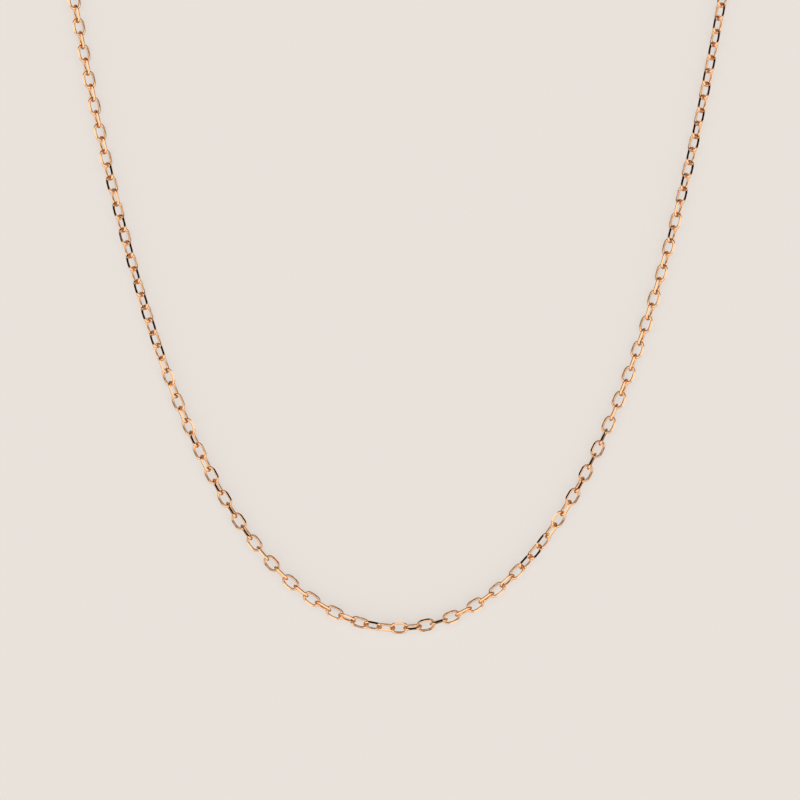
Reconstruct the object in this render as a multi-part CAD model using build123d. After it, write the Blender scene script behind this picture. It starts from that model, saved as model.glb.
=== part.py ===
from build123d import *
from math import asin, asinh, atan, atan2, cos, degrees, radians, sin, sqrt
import os

# A rose-gold diamond-cut cable chain necklace, laid flat and unfastened, in millimetres.
# The table is the XY plane, +Z is up and +Y runs from the bottom of the necklace to the clasp.
# Every link is a separate solid, and four neighbouring links share one node.

# The chain: an oval cable link of round wire, whose two long sides are cut flat.
WIRE = 0.44
LINK_WIDTH = 2.21
PITCH = 2.308
LINK_PLAY = 0.04
END_RADIUS = 0.80
CUT_DISTANCE = 0.75
LINKS_PER_NODE = 4
LEFT_NODES = 23
RIGHT_NODES = 24
FIRST_LINK_OFFSET = 0.2

# The lie of the chain on the table: a catenary that closes into two arcs at the top.
CATENARY = 23.0
CATENARY_HEIGHT = 108.4
CLOSING_RADIUS = 64.0
CENTRE_OFFSET_X = -0.107
CENTRE_OFFSET_Y = 92.2

# How the chain is twisted about its own length: (distance along the chain from its lowest point, degrees).
TWIST = [
    (-217, 0), (-130, -25), (-106, -27), (-100, -38), (-70, -46), (-60, -68), (-45, -72),
    (-27, -94), (-9, -115), (1, -165), (10, -190), (24, -216), (33, -246), (42, -262),
    (60, -287), (78, -298), (100, -312), (130, -324), (225, -270),
]
ROLL_PLAY = 4.0
ROLL_STEP = 2.1

# The rings at the two ends.
JUMP_RING_WIRE = 0.50
JUMP_RING_OUTSIDE = 3.40
END_RING_WIRE = 0.70
END_RING_OUTSIDE = 5.00
END_RING_REACH = 0.35
EYE_REACH = 1.20

# The lobster clasp, in its own plane: the eye's centre is the origin and +X points to the tip.
CLASP_THICKNESS = 2.50
EYE_HOLE = 0.75
EYE_RADIUS = 1.35
EYE_THICKNESS = 0.90
NECK_END_X = 1.75
TAIL_X = 3.30
TAIL_RADIUS = 1.70
NOSE_X = 7.30
NOSE_RADIUS = 2.50
MOUTH_X = 7.40
MOUTH_RADIUS = 1.55
THROAT_X = 5.20
THROAT_RADIUS = 0.95
CLASP_EDGE = 0.70
PIVOT_X = 3.20
PIVOT_Y = 0.45
RIVET_RADIUS = 0.35
RIVET_PLAY = 0.03
SLOT_START_X = 1.95
SLOT_END_X = 4.60
SLOT_THICKNESS = 1.10
LEVER_THICKNESS = 1.00
HUB_RADIUS = 0.85
GATE_START_X = 4.70
GATE_REACH = 4.85
GATE_GAP = 0.10
GATE_THICKNESS = 1.90
GATE_ROOM_Y = 0.20
GATE_Y = 0.40
ARM_X = 5.00
ARM_Y = 1.45
ARM_RADIUS = 0.45
GATE_EDGE = 0.45
TAB_X = 4.15
TAB_Y = -2.35
TAB_RADIUS = 0.42
TAB_ROOT_RADIUS = 0.60
SPRING_THICKNESS = 0.12
SPRING_WIDTH = 0.80
SPRING_X = 2.05
SPRING_START_Y = -1.20
SPRING_END_Y = 1.00
SPRING_BEND = 4.00

HALF_LENGTH = (PITCH + WIRE + LINK_PLAY) / 2
HALF_WIDTH = (LINK_WIDTH - WIRE) / 2
CHAIN_HEIGHT = CUT_DISTANCE * sqrt(2)
UP = Vector(0, 0, 1)


def catenary_top():
    """Where the catenary ends: its arc length from the lowest point, x, y and slope in degrees."""
    length = sqrt((CATENARY_HEIGHT + CATENARY) ** 2 - CATENARY**2)
    return length, CATENARY * asinh(length / CATENARY), CATENARY_HEIGHT, degrees(atan(length / CATENARY))


def route_point(distance):
    """The point of the chain's axis at a distance along it, negative to the left of the lowest point."""
    top_length, top_x, top_y, top_slope = catenary_top()
    travel = abs(distance)
    if travel <= top_length:
        x = CATENARY * asinh(travel / CATENARY)
        y = sqrt(travel**2 + CATENARY**2) - CATENARY
    else:
        slope = radians(top_slope) + (travel - top_length) / CLOSING_RADIUS
        x = top_x + CLOSING_RADIUS * (sin(slope) - sin(radians(top_slope)))
        y = top_y - CLOSING_RADIUS * (cos(slope) - cos(radians(top_slope)))
    side = -1 if distance < 0 else 1
    return Vector(side * x - CENTRE_OFFSET_X, y - CENTRE_OFFSET_Y, CHAIN_HEIGHT)


def twist_at(distance):
    """The chain's twist in degrees at a distance along it, straight between the listed places."""
    if distance <= TWIST[0][0]:
        return TWIST[0][1]
    for (start, low), (end, high) in zip(TWIST, TWIST[1:]):
        if distance <= end:
            return low + (high - low) * (distance - start) / (end - start)
    return TWIST[-1][1]


def link_plane(index):
    """The place of one link: x along the chain, y across the link. Odd links are turned by 90 degrees."""
    middle = FIRST_LINK_OFFSET + index * PITCH
    start = route_point(middle - PITCH / 2)
    end = route_point(middle + PITCH / 2)
    along = (end - start).normalized()
    inward = UP.cross(along)
    turn = radians(twist_at(middle) + 90 * (index % 2) + ROLL_PLAY * sin(ROLL_STEP * index))
    across = inward * cos(turn) + UP * sin(turn)
    return Plane(origin=(start + end) / 2, x_dir=along, z_dir=along.cross(across))


def bent_wire(centre, start, degrees_round, diameter):
    """Round wire along an arc in the XY plane, counter-clockwise from start."""
    radial = (start - centre).normalized()
    section = Plane(origin=start, x_dir=radial, z_dir=UP.cross(radial)) * Circle(diameter / 2)
    return revolve(section, axis=Axis(centre, UP), revolution_arc=degrees_round)


def make_link():
    """One link: four tangent arcs of wire, cut by a square bar turned 45 degrees about the chain."""
    across_end = HALF_LENGTH - END_RADIUS
    side_radius = (across_end**2 + HALF_WIDTH**2 - END_RADIUS**2) / (2 * (HALF_WIDTH - END_RADIUS))
    side_centre = Vector(0, HALF_WIDTH - side_radius, 0)
    end_centre = Vector(across_end, 0, 0)
    join_angle = degrees(atan2(side_radius - HALF_WIDTH, across_end))
    join = side_centre + (end_centre - side_centre).normalized() * side_radius
    lower_join = Vector(join.X, -join.Y, 0)
    side = bent_wire(side_centre, join, 180 - 2 * join_angle, WIRE)
    end = bent_wire(end_centre, lower_join, 2 * join_angle, WIRE)
    loop = side + end + side.mirror(Plane.XZ) + end.mirror(Plane.YZ)
    bar = Rot(45, 0, 0) * Box(3 * HALF_LENGTH, 2 * CUT_DISTANCE, 2 * CUT_DISTANCE)
    return (loop & bar).solid()


def chain_node(link, indices):
    """A run of links as separate solids."""
    return Compound(children=[link.moved(link_plane(index).location) for index in indices])


def chain_runs():
    """The links of each chain node: (node name, link numbers from the one nearest the bottom outwards)."""
    runs = [("chain_center", [-2, -1, 0, 1])]
    for number in range(1, LEFT_NODES + 1):
        nearest = 1 - LINKS_PER_NODE * number
        runs.append((f"chain_left_{number:02d}", [nearest - step for step in range(LINKS_PER_NODE)]))
    for number in range(1, RIGHT_NODES + 1):
        nearest = 2 + LINKS_PER_NODE * (number - 1)
        runs.append((f"chain_right_{number:02d}", [nearest + step for step in range(LINKS_PER_NODE)]))
    return runs


def make_ring(outside, wire):
    """A round ring in the XY plane."""
    return Torus((outside - wire) / 2, wire / 2)


def jump_ring_location(link_index):
    """A jump ring that stands on edge in the last link: x away from the chain, z along the table."""
    link = link_plane(link_index)
    outward = link.x_dir if link_index > 0 else -link.x_dir
    inside = (JUMP_RING_OUTSIDE - 2 * JUMP_RING_WIRE) / 2 - WIRE / 2 - LINK_PLAY
    height = JUMP_RING_OUTSIDE / 2 - CHAIN_HEIGHT
    shift = HALF_LENGTH + sqrt(inside**2 - height**2)
    centre = link.origin + outward * shift + UP * height
    return Plane(origin=centre, x_dir=outward, z_dir=outward.cross(UP))


def clasp_location(ring):
    """The clasp lies flat beyond its jump ring."""
    centre = ring.origin + ring.x_dir * EYE_REACH
    return Plane(origin=Vector(centre.X, centre.Y, CLASP_THICKNESS / 2), x_dir=ring.x_dir, z_dir=UP)


def end_ring_location(ring):
    """The end ring leans on the inside of its jump ring and touches the table on the far side."""
    inside = (JUMP_RING_OUTSIDE - 2 * JUMP_RING_WIRE) / 2 - END_RING_WIRE / 2 - LINK_PLAY
    near_height = JUMP_RING_OUTSIDE / 2 - sqrt(inside**2 - END_RING_REACH**2)
    across = END_RING_OUTSIDE - END_RING_WIRE
    lean = asin((near_height - END_RING_WIRE / 2) / across)
    near = Vector(ring.origin.X, ring.origin.Y, near_height) + ring.x_dir * END_RING_REACH
    slope = ring.x_dir * cos(lean) - UP * sin(lean)
    side = UP.cross(ring.x_dir)
    return Plane(origin=near + slope * (across / 2), x_dir=slope, z_dir=slope.cross(side))


def disc(x, y, radius):
    """A filled circle in the clasp's plane."""
    return Pos(x, y) * Circle(radius)


def hull_of(*circles):
    """The outline that a band stretched round some circles would take."""
    edges = ShapeList()
    for circle in circles:
        edges += circle.edges()
    return make_hull(edges)


def slab(outline, thickness):
    """A flat plate, centred on the clasp's middle plane."""
    return extrude(outline, amount=thickness / 2, both=True)


def mouth():
    """The clasp's opening in plan."""
    return hull_of(disc(THROAT_X, 0, THROAT_RADIUS), disc(MOUTH_X, 0, MOUTH_RADIUS))


def clasp_outline():
    """The clasp's pear-shaped body in plan."""
    return hull_of(disc(TAIL_X, 0, TAIL_RADIUS), disc(NOSE_X, 0, NOSE_RADIUS))


def rim_edges(solid, half_thickness):
    """The edges of a plate's two flat faces."""
    return solid.edges().filter_by(lambda edge: abs(abs(edge.center().Z) - half_thickness) < 0.01)


def make_clasp_body():
    """The hook, its slotted tail and its eye in one casting."""
    pear = slab(clasp_outline(), CLASP_THICKNESS)
    pear = fillet(rim_edges(pear, CLASP_THICKNESS / 2), CLASP_EDGE)
    opening = slab(mouth(), 2 * CLASP_THICKNESS)
    pear = pear - opening
    neck = slab(hull_of(disc(0, 0, EYE_RADIUS), disc(TAIL_X, 0, EYE_RADIUS)), EYE_THICKNESS)
    neck = neck & slab(Rectangle(2 * NECK_END_X, 2 * EYE_RADIUS), CLASP_THICKNESS)
    body = pear + neck
    body = body - slab(disc(0, 0, EYE_HOLE), CLASP_THICKNESS)
    slot = Box(SLOT_END_X - SLOT_START_X, 4 * TAIL_RADIUS, SLOT_THICKNESS)
    body = body - Pos((SLOT_START_X + SLOT_END_X) / 2, 0, 0) * slot
    gate_room = slab(disc(PIVOT_X, PIVOT_Y, GATE_REACH + GATE_GAP), 2 * CLASP_THICKNESS)
    body = body - (gate_room & corner_block(SLOT_END_X, GATE_ROOM_Y))
    return body - slab(disc(PIVOT_X, PIVOT_Y, RIVET_RADIUS), 2 * CLASP_THICKNESS)


def corner_block(left_x, low_y):
    """A block that reaches well past the clasp from a left and a lower side."""
    size = 2 * NOSE_RADIUS + NOSE_X
    return Pos(left_x + size / 2, low_y + size / 2, 0) * Box(size, size, 4 * CLASP_THICKNESS)


def make_clasp_lever():
    """The gate, its hub and the thumb tab that pulls it open."""
    wall = slab(clasp_outline(), GATE_THICKNESS)
    wall = fillet(rim_edges(wall, GATE_THICKNESS / 2), GATE_EDGE)
    wall = wall - slab(mouth(), 2 * CLASP_THICKNESS)
    reach = slab(disc(PIVOT_X, PIVOT_Y, GATE_REACH), CLASP_THICKNESS)
    gate = wall & reach & corner_block(GATE_START_X, GATE_Y)
    arm = hull_of(disc(PIVOT_X, PIVOT_Y, HUB_RADIUS), disc(ARM_X, ARM_Y, ARM_RADIUS))
    tab = hull_of(disc(PIVOT_X, PIVOT_Y, TAB_ROOT_RADIUS), disc(TAB_X, TAB_Y, TAB_RADIUS))
    lever = slab(arm, LEVER_THICKNESS) + slab(tab, LEVER_THICKNESS) + gate
    return lever - slab(disc(PIVOT_X, PIVOT_Y, RIVET_RADIUS + RIVET_PLAY), CLASP_THICKNESS)


def make_clasp_rivet():
    """The pin that the lever turns on, flush with both cheeks."""
    return Pos(PIVOT_X, PIVOT_Y) * Cylinder(RIVET_RADIUS, CLASP_THICKNESS)


def make_clasp_spring():
    """A bent leaf between the back of the slot and the lever's hub."""
    path = RadiusArc((SPRING_X, SPRING_START_Y), (SPRING_X, SPRING_END_Y), -SPRING_BEND)
    leaf = trace(path, SPRING_THICKNESS)
    return slab(leaf, SPRING_WIDTH)


def save(shape, name):
    """Write one node."""
    export_step(shape, f"parts/{name}.step")


def main():
    """Build every node where it belongs."""
    os.makedirs("parts", exist_ok=True)
    link = make_link()
    runs = chain_runs()
    for name, indices in runs:
        save(chain_node(link, indices), name)
    first_link = -LINKS_PER_NODE * LEFT_NODES - LINKS_PER_NODE // 2
    last_link = LINKS_PER_NODE * RIGHT_NODES + 1
    jump_ring = make_ring(JUMP_RING_OUTSIDE, JUMP_RING_WIRE)
    left = jump_ring_location(first_link)
    right = jump_ring_location(last_link)
    save(jump_ring.moved(left.location), "clasp_ring")
    save(jump_ring.moved(right.location), "end_connector_ring")
    end_ring = make_ring(END_RING_OUTSIDE, END_RING_WIRE)
    save(end_ring.moved(end_ring_location(right).location), "end_ring")
    clasp = clasp_location(left).location
    save(make_clasp_body().moved(clasp), "clasp_body")
    save(make_clasp_lever().moved(clasp), "clasp_lever")
    save(make_clasp_rivet().moved(clasp), "clasp_rivet")
    save(make_clasp_spring().moved(clasp), "clasp_spring")


if __name__ == "__main__":
    main()
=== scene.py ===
import bmesh
import bpy
from math import atan2, cos, pi, radians, sin
from mathutils import Matrix, Vector

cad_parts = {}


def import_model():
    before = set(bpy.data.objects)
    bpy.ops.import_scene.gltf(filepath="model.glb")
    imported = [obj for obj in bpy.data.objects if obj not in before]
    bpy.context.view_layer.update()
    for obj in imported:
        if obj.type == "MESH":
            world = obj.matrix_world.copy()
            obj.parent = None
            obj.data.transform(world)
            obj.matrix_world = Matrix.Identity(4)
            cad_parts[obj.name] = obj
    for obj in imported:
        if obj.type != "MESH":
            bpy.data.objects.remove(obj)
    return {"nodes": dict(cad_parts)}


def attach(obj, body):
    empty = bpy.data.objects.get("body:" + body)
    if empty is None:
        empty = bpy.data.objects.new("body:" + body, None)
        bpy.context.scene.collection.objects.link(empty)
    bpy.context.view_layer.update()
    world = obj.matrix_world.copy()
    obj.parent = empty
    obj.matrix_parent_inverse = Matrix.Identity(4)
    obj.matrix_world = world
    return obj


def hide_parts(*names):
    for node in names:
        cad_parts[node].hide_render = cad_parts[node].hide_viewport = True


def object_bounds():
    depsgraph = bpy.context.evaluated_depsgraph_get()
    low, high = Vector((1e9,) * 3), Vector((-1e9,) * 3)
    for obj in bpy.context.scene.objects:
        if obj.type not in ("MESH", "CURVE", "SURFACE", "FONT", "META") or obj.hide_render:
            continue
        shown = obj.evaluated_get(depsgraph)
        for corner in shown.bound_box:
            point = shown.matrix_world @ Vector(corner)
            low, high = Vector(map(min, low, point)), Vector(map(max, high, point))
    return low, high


# The looks of a rose-gold diamond-cut cable chain necklace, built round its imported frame, in metres.

MM = 0.001

# The link: round wire bent along four tangent arcs, with four flat cuts along the chain. The half sizes
# are the centreline's, and a cut's distance is from the link's long axis.
WIRE = 0.44 * MM
HALF_LENGTH = 1.394 * MM
HALF_WIDTH = 0.885 * MM
END_RADIUS = 0.80 * MM
CUT_DISTANCE = 0.75 * MM
CUTS = 4
CUT_TOLERANCE = 1e-8
LINK_STEPS_ALONG = 64
LINK_STEPS_ROUND = 22

# The rings.
JUMP_RING_WIRE = 0.50 * MM
JUMP_RING_OUTSIDE = 3.40 * MM
END_RING_WIRE = 0.70 * MM
END_RING_OUTSIDE = 5.00 * MM
RING_SEAM = 0.03 * MM
SEAM_TOLERANCE = 1e-9
RING_STEPS_ALONG = 96
RING_STEPS_ROUND = 24

# The clasp's cast edges.
BODY_ROUNDING = 0.10 * MM
LEVER_ROUNDING = 0.06 * MM
ROUNDING_STEPS = 3
FLAT_ANGLE = radians(1.0)
SHARP_ANGLE = radians(32.0)

# Reading the CAD meshes.
WELD = 0.001 * MM
SQUARINGS = 40

# The metals. A noise's scale is the number of its cells in a metre, and most of its values lie between
# NOISE_LOW and NOISE_HIGH.
ROSE_GOLD = (0.98, 0.56, 0.30)
DEEP_ROSE_GOLD = (0.90, 0.49, 0.24)
STEEL = (0.60, 0.59, 0.58)
NOISE_LOW = 0.35
NOISE_HIGH = 0.65
CLOUD_SCALE = 900.0
CLOUD_DETAIL = 4.0
SMOOTHEST = 0.8
ROUGHEST = 1.25
PATCH_SCALE = 260.0
PATCH_DETAIL = 3.0
HAIR_SCALE = 9000.0
HAIR_DETAIL = 5.0
HAIR_DISTORTION = 0.4
HAIR_STRETCH = (1.0, 0.08, 1.0)
HAIR_TURN = (0.4, 0.2, 0.9)
HAIR_HEIGHT = 0.004 * MM

# The table, which is brighter to the camera than in the metal's reflections.
PALE_FLOOR = (0.81, 0.76, 0.715)
FLOOR_SIZE = 8.0
FLOOR_DROP = 0.02 * MM
FLOOR_GLOW = 0.70
FLOOR_GLOW_REFLECTED = 0.26
FLOOR_SHADE = 0.35
FLOOR_SHADE_REFLECTED = 0.18

# The studio. A dark zone's two numbers are where it starts and where it is full, on a direction's own
# Z or Y, which runs from -1 to 1.
CEILING_ZONE = (0.90, 0.935)
WALL_ZONE = (0.20, 0.32)
WALL_TOP_ZONE = (0.72, 0.62)
STUDIO_LIGHT = 1.32
STUDIO_DARK = 0.006
STUDIO_TONE = (1.0, 0.985, 0.965)

# The picture: the camera looks straight down on the lower half of the loop.
LENS = 100.0
SENSOR = 36.0
VIEW_WIDTH = 138.2 * MM
VIEW_CENTRE_X = 0.43 * MM
VIEW_CENTRE_ABOVE_BOTTOM = 40.27 * MM
NEAREST_SEEN = 0.01
FURTHEST_SEEN = 10.0


def new_material(name):
    """A material with only its Principled shader and output: (material, nodes, links, shader)."""
    material = bpy.data.materials.new(name)
    material.use_nodes = True
    nodes = material.node_tree.nodes
    return material, nodes, material.node_tree.links, nodes["Principled BSDF"]


def with_alpha(colour, brightness=1.0):
    """A colour at a brightness, as the four numbers that a colour socket takes."""
    return (*[min(1.0, part * brightness) for part in colour], 1)


def noise_node(nodes, scale, detail, distortion=0.0):
    """A noise texture."""
    noise = nodes.new("ShaderNodeTexNoise")
    noise.inputs["Scale"].default_value = scale
    noise.inputs["Detail"].default_value = detail
    noise.inputs["Distortion"].default_value = distortion
    return noise


def noise_range_node(nodes, low, high):
    """Maps a noise's usual values to a range."""
    ramp = nodes.new("ShaderNodeMapRange")
    ramp.inputs["From Min"].default_value = NOISE_LOW
    ramp.inputs["From Max"].default_value = NOISE_HIGH
    ramp.inputs["To Min"].default_value = low
    ramp.inputs["To Max"].default_value = high
    return ramp


def metal(name, colour, roughness, scratches, tint=0.06):
    """Polished metal: cloudy roughness, hair scratches, and a slightly uneven colour."""
    material, nodes, links, shader = new_material(name)
    place = nodes.new("ShaderNodeTexCoord")
    shader.inputs["Metallic"].default_value = 1.0

    clouds = noise_node(nodes, CLOUD_SCALE, CLOUD_DETAIL)
    links.new(place.outputs["Object"], clouds.inputs["Vector"])
    gloss = noise_range_node(nodes, roughness * SMOOTHEST, roughness * ROUGHEST)
    links.new(clouds.outputs["Fac"], gloss.inputs["Value"])
    links.new(gloss.outputs["Result"], shader.inputs["Roughness"])

    patches = noise_node(nodes, PATCH_SCALE, PATCH_DETAIL)
    links.new(place.outputs["Object"], patches.inputs["Vector"])
    blend = nodes.new("ShaderNodeMix")
    blend.data_type = "RGBA"
    blend.inputs["A"].default_value = with_alpha(colour, 1 - tint)
    blend.inputs["B"].default_value = with_alpha(colour, 1 + tint)
    links.new(patches.outputs["Fac"], blend.inputs["Factor"])
    links.new(blend.outputs["Result"], shader.inputs["Base Color"])

    stretch = nodes.new("ShaderNodeMapping")
    stretch.inputs["Scale"].default_value = HAIR_STRETCH
    stretch.inputs["Rotation"].default_value = HAIR_TURN
    links.new(place.outputs["Object"], stretch.inputs["Vector"])
    hairs = noise_node(nodes, HAIR_SCALE, HAIR_DETAIL, HAIR_DISTORTION)
    links.new(stretch.outputs["Vector"], hairs.inputs["Vector"])
    bump = nodes.new("ShaderNodeBump")
    bump.inputs["Strength"].default_value = scratches
    bump.inputs["Distance"].default_value = HAIR_HEIGHT
    links.new(hairs.outputs["Fac"], bump.inputs["Height"])
    links.new(bump.outputs["Normal"], shader.inputs["Normal"])
    return material


def centreline(count):
    """The link's centreline as (point, outward direction) pairs, evenly spaced along its four arcs."""
    across_end = HALF_LENGTH - END_RADIUS
    side_radius = (across_end**2 + HALF_WIDTH**2 - END_RADIUS**2) / (2 * (HALF_WIDTH - END_RADIUS))
    side_centre = Vector((0, HALF_WIDTH - side_radius, 0))
    end_centre = Vector((across_end, 0, 0))
    join_angle = atan2(side_radius - HALF_WIDTH, across_end)
    arcs = [
        (end_centre, END_RADIUS, -join_angle, join_angle),
        (side_centre, side_radius, join_angle, pi - join_angle),
        (-end_centre, END_RADIUS, pi - join_angle, pi + join_angle),
        (-side_centre, side_radius, pi + join_angle, 2 * pi - join_angle),
    ]
    lengths = [radius * (last - first) for _, radius, first, last in arcs]
    result = []
    for step in range(count):
        travel = sum(lengths) * step / count
        for (centre, radius, first, last), length in zip(arcs, lengths):
            if travel < length:
                angle = first + travel / radius
                outward = Vector((cos(angle), sin(angle), 0))
                result.append((centre + outward * radius, outward))
                break
            travel -= length
    return result


def tube_mesh(line, radius, steps_round):
    """A closed bmesh tube round a closed line in the XY plane."""
    normal = Vector((0, 0, 1))
    mesh = bmesh.new()
    rings = []
    for point, outward in line:
        ring = []
        for step in range(steps_round):
            angle = 2 * pi * step / steps_round
            across = outward * (radius * cos(angle))
            above = normal * (radius * sin(angle))
            ring.append(mesh.verts.new(point + across + above))
        rings.append(ring)
    for index, ring in enumerate(rings):
        following = rings[(index + 1) % len(rings)]
        for step in range(steps_round):
            after = (step + 1) % steps_round
            face = mesh.faces.new((ring[step], following[step], following[after], ring[after]))
            face.smooth = True
    return mesh


def mesh_data(mesh, name):
    """Turns a finished bmesh into mesh data, and frees it."""
    data = bpy.data.meshes.new(name)
    mesh.to_mesh(data)
    mesh.free()
    return data


def make_link():
    """One link, x along the chain and y across the link. Its four diamond cuts have material 1."""
    mesh = tube_mesh(centreline(LINK_STEPS_ALONG), WIRE / 2, LINK_STEPS_ROUND)
    for index in range(CUTS):
        turn = pi / 4 + index * 2 * pi / CUTS
        direction = Vector((0, cos(turn), sin(turn)))
        cut = bmesh.ops.bisect_plane(
            mesh,
            geom=mesh.verts[:] + mesh.edges[:] + mesh.faces[:],
            plane_co=direction * CUT_DISTANCE,
            plane_no=direction,
            clear_outer=True,
            dist=CUT_TOLERANCE,
        )
        rim = [item for item in cut["geom_cut"] if isinstance(item, bmesh.types.BMEdge)]
        filled = bmesh.ops.edgeloop_fill(mesh, edges=rim)
        for face in filled["faces"]:
            face.smooth = False
            face.material_index = 1
        for edge in rim:
            edge.smooth = False
    bmesh.ops.recalc_face_normals(mesh, faces=mesh.faces[:])
    return mesh_data(mesh, "link")


def islands(node):
    """The connected pieces of a CAD node's mesh, as lists of (triangle centre, area) pairs."""
    mesh = bmesh.new()
    mesh.from_mesh(node.data)
    bmesh.ops.remove_doubles(mesh, verts=mesh.verts[:], dist=WELD)
    mesh.faces.ensure_lookup_table()
    seen = set()
    found = []
    for face in mesh.faces:
        if face.index in seen:
            continue
        stack = [face]
        seen.add(face.index)
        piece = []
        while stack:
            current = stack.pop()
            piece.append((current.calc_center_median(), current.calc_area()))
            for edge in current.edges:
                for neighbour in edge.link_faces:
                    if neighbour.index not in seen:
                        seen.add(neighbour.index)
                        stack.append(neighbour)
        found.append(piece)
    mesh.free()
    return found


def largest_part(matrix):
    """The largest of a matrix's parts, without its sign."""
    return max(abs(matrix[row][column]) for row in range(3) for column in range(3))


def dominant_direction(spread):
    """The direction in which a symmetric matrix stretches most, by squaring it again and again."""
    power = spread * (1 / largest_part(spread))
    for _ in range(SQUARINGS):
        power = power @ power
        power = power * (1 / largest_part(power))
    columns = [Vector((power[0][index], power[1][index], power[2][index])) for index in range(3)]
    return max(columns, key=lambda column: column.length).normalized()


def principal_frame(piece):
    """The matrix that puts x on a piece's longest direction and z on its shortest, at its centre."""
    total = sum(area for _, area in piece)
    centre = sum((point * area for point, area in piece), Vector()) / total
    spread = Matrix(((0, 0, 0), (0, 0, 0), (0, 0, 0)))
    for point, area in piece:
        arm = point - centre
        for row in range(3):
            for column in range(3):
                spread[row][column] += arm[row] * arm[column] * area
    longest = dominant_direction(spread)
    size = longest.dot(spread @ longest)
    for row in range(3):
        for column in range(3):
            spread[row][column] -= size * longest[row] * longest[column]
    middle = dominant_direction(spread)
    middle = (middle - longest * middle.dot(longest)).normalized()
    shortest = longest.cross(middle)
    turn = Matrix((longest, middle, shortest)).transposed().to_4x4()
    return Matrix.Translation(centre) @ turn


def add_object(name, data, materials):
    """A new object in the scene, with its materials."""
    piece = bpy.data.objects.new(name, data)
    bpy.context.scene.collection.objects.link(piece)
    for material in materials:
        data.materials.append(material)
    return piece


def build_chain(frame, materials):
    """Puts a finely shaped link on every link solid of every chain node."""
    link = make_link()
    for name, node in frame["nodes"].items():
        if not name.startswith("chain_"):
            continue
        mesh = bmesh.new()
        for piece in islands(node):
            copy = link.copy()
            copy.transform(principal_frame(piece))
            mesh.from_mesh(copy)
            bpy.data.meshes.remove(copy)
        run = add_object(f"{name}_links", mesh_data(mesh, f"{name}_links"), materials)
        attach(run, name)
        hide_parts(name)
    bpy.data.meshes.remove(link)


def wire_ring(outside, wire):
    """A closed ring of round wire with the fine butt seam of a bent ring at its +X side."""
    radius = (outside - wire) / 2
    line = []
    for step in range(RING_STEPS_ALONG):
        angle = 2 * pi * step / RING_STEPS_ALONG
        outward = Vector((cos(angle), sin(angle), 0))
        line.append((outward * radius, outward))
    mesh = tube_mesh(line, wire / 2, RING_STEPS_ROUND)
    middle = Vector((radius, 0, 0))
    for vertex in mesh.verts:
        if vertex.co.x > 0 and abs(vertex.co.y) < SEAM_TOLERANCE:
            vertex.co = middle + (vertex.co - middle) * (1 - 2 * RING_SEAM / wire)
    bmesh.ops.recalc_face_normals(mesh, faces=mesh.faces[:])
    return mesh_data(mesh, "ring")


def ring_frame(node):
    """The matrix that puts z on a flat ring's axis, at its centre."""
    triangles = [triangle for piece in islands(node) for triangle in piece]
    return principal_frame(triangles)


def build_rings(frame, material):
    """The two jump rings and the end ring."""
    sizes = {
        "clasp_ring": (JUMP_RING_OUTSIDE, JUMP_RING_WIRE),
        "end_connector_ring": (JUMP_RING_OUTSIDE, JUMP_RING_WIRE),
        "end_ring": (END_RING_OUTSIDE, END_RING_WIRE),
    }
    for name, (outside, wire) in sizes.items():
        data = wire_ring(outside, wire)
        data.transform(ring_frame(frame["nodes"][name]))
        ring = add_object(f"{name}_wire", data, [material])
        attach(ring, name)
        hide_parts(name)


def is_sharp(edge):
    """Whether two faces meet at an edge with a clear change of direction."""
    return len(edge.link_faces) == 2 and edge.calc_face_angle() > SHARP_ANGLE


def softened_copy(node, width):
    """A copy of a CAD mesh, welded, with its flat faces joined and its sharp edges rounded."""
    mesh = bmesh.new()
    mesh.from_mesh(node.data)
    bmesh.ops.remove_doubles(mesh, verts=mesh.verts[:], dist=WELD)
    bmesh.ops.dissolve_limit(mesh, angle_limit=FLAT_ANGLE, verts=mesh.verts[:], edges=mesh.edges[:])
    bmesh.ops.bevel(
        mesh,
        geom=[edge for edge in mesh.edges if is_sharp(edge)],
        offset=width,
        offset_type="OFFSET",
        segments=ROUNDING_STEPS,
        profile=0.5,
        affect="EDGES",
        clamp_overlap=True,
    )
    for face in mesh.faces:
        face.smooth = True
    for edge in mesh.edges:
        edge.smooth = not is_sharp(edge)
    return mesh_data(mesh, f"{node.name}_soft")


def finish_clasp(frame, castings, materials):
    """The castings get rounded edges. The rivet and the spring keep their CAD shape and get their metal."""
    for name, (body, width, material) in castings.items():
        piece = add_object(f"{name}_cast", softened_copy(frame["nodes"][name], width), [material])
        smooth = piece.modifiers.new("even_shading", "WEIGHTED_NORMAL")
        smooth.keep_sharp = True
        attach(piece, body)
        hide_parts(name)
    for name, material in materials.items():
        node = frame["nodes"][name]
        node.data.materials.clear()
        node.data.materials.append(material)


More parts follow.
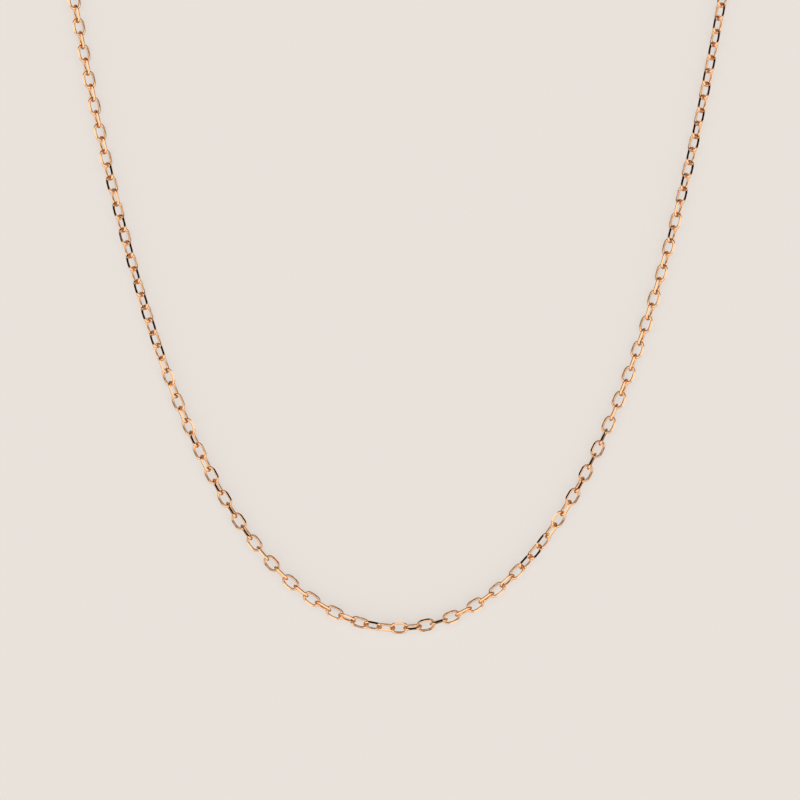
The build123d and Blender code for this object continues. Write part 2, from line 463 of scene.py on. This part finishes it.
def build_floor():
    """A plain pale table that takes only a faint shadow."""
    data = bpy.data.meshes.new("table")
    half = FLOOR_SIZE / 2
    corners = [(-half, -half, 0), (half, -half, 0), (half, half, 0), (-half, half, 0)]
    data.from_pydata(corners, [], [(0, 1, 2, 3)])
    material, nodes, links, shader = new_material("table_paper")
    shader.inputs["Roughness"].default_value = 1.0
    shader.inputs["Specular IOR Level"].default_value = 0.0
    shader.inputs["Emission Color"].default_value = with_alpha(PALE_FLOOR)
    seen = nodes.new("ShaderNodeLightPath")
    glow = nodes.new("ShaderNodeMix")
    links.new(seen.outputs["Is Glossy Ray"], glow.inputs["Factor"])
    glow.inputs["A"].default_value = FLOOR_GLOW
    glow.inputs["B"].default_value = FLOOR_GLOW_REFLECTED
    links.new(glow.outputs["Result"], shader.inputs["Emission Strength"])
    paper = nodes.new("ShaderNodeMix")
    paper.data_type = "RGBA"
    links.new(seen.outputs["Is Glossy Ray"], paper.inputs["Factor"])
    paper.inputs["A"].default_value = with_alpha(PALE_FLOOR, FLOOR_SHADE)
    paper.inputs["B"].default_value = with_alpha(PALE_FLOOR, FLOOR_SHADE_REFLECTED)
    links.new(paper.outputs["Result"], shader.inputs["Base Color"])
    table = add_object("table", data, [material])
    table.location.z = -FLOOR_DROP


def zone_node(nodes, links, value, zone):
    """0 before a zone's start, 1 past where it is full, and smooth between."""
    start, full = zone
    ramp = nodes.new("ShaderNodeMapRange")
    ramp.interpolation_type = "SMOOTHSTEP"
    ramp.inputs["From Min"].default_value = start
    ramp.inputs["From Max"].default_value = full
    links.new(value, ramp.inputs["Value"])
    return ramp.outputs["Result"]


def math_node(nodes, links, operation, first, second):
    """A maths node on two sockets or numbers."""
    node = nodes.new("ShaderNodeMath")
    node.operation = operation
    for socket, value in zip(node.inputs, (first, second)):
        if isinstance(value, float):
            socket.default_value = value
        else:
            links.new(value, socket)
    return node.outputs["Value"]


def build_studio():
    """Soft light all round, with a dark patch overhead and a dark wall towards the top of the loop.

    The camera itself sees the table's pale colour in place of the surroundings.
    """
    world = bpy.data.worlds.new("studio")
    bpy.context.scene.world = world
    world.use_nodes = True
    nodes = world.node_tree.nodes
    links = world.node_tree.links
    background = nodes["Background"]
    place = nodes.new("ShaderNodeTexCoord")
    split = nodes.new("ShaderNodeSeparateXYZ")
    links.new(place.outputs["Generated"], split.inputs["Vector"])
    ceiling = zone_node(nodes, links, split.outputs["Z"], CEILING_ZONE)
    wall = zone_node(nodes, links, split.outputs["Y"], WALL_ZONE)
    below_top = zone_node(nodes, links, split.outputs["Z"], WALL_TOP_ZONE)
    wall = math_node(nodes, links, "MULTIPLY", wall, below_top)
    dark = math_node(nodes, links, "MAXIMUM", ceiling, wall)
    light = math_node(nodes, links, "SUBTRACT", 1.0, dark)
    strength = math_node(nodes, links, "MULTIPLY", light, STUDIO_LIGHT)
    strength = math_node(nodes, links, "ADD", strength, STUDIO_DARK)
    seen = nodes.new("ShaderNodeLightPath")
    shown = nodes.new("ShaderNodeMix")
    links.new(seen.outputs["Is Camera Ray"], shown.inputs["Factor"])
    links.new(strength, shown.inputs["A"])
    shown.inputs["B"].default_value = 1.0
    links.new(shown.outputs["Result"], background.inputs["Strength"])
    tone = nodes.new("ShaderNodeMix")
    tone.data_type = "RGBA"
    links.new(seen.outputs["Is Camera Ray"], tone.inputs["Factor"])
    tone.inputs["A"].default_value = with_alpha(STUDIO_TONE)
    tone.inputs["B"].default_value = with_alpha(PALE_FLOOR)
    links.new(tone.outputs["Result"], background.inputs["Color"])


def build_camera(bottom):
    """The camera looks straight down, with the bottom of the necklace in the lower part of the picture."""
    data = bpy.data.cameras.new("camera")
    data.lens = LENS
    data.sensor_width = SENSOR
    camera = bpy.data.objects.new("camera", data)
    distance = VIEW_WIDTH * LENS / SENSOR
    camera.location = (VIEW_CENTRE_X, bottom + VIEW_CENTRE_ABOVE_BOTTOM, distance)
    data.clip_start = NEAREST_SEEN
    data.clip_end = FURTHEST_SEEN
    bpy.context.scene.collection.objects.link(camera)
    bpy.context.scene.camera = camera


def main():
    """Builds everything round the frame."""
    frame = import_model()
    cad_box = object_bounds()
    bpy.context.scene.view_settings.view_transform = "Standard"
    wire = metal("rose_gold_wire", ROSE_GOLD, roughness=0.16, scratches=0.25)
    facet = metal("rose_gold_cut", ROSE_GOLD, roughness=0.05, scratches=0.10, tint=0.03)
    casting = metal("rose_gold_casting", ROSE_GOLD, roughness=0.20, scratches=0.35)
    pin = metal("rose_gold_pin", DEEP_ROSE_GOLD, roughness=0.28, scratches=0.5)
    steel = metal("spring_steel", STEEL, roughness=0.3, scratches=0.5)
    build_chain(frame, [wire, facet])
    build_rings(frame, casting)
    castings = {
        "clasp_body": ("clasp", BODY_ROUNDING, casting),
        "clasp_lever": ("clasp_lever", LEVER_ROUNDING, casting),
    }
    finish_clasp(frame, castings, {"clasp_rivet": pin, "clasp_spring": steel})
    build_floor()
    build_studio()
    build_camera(cad_box[0][1])


main()
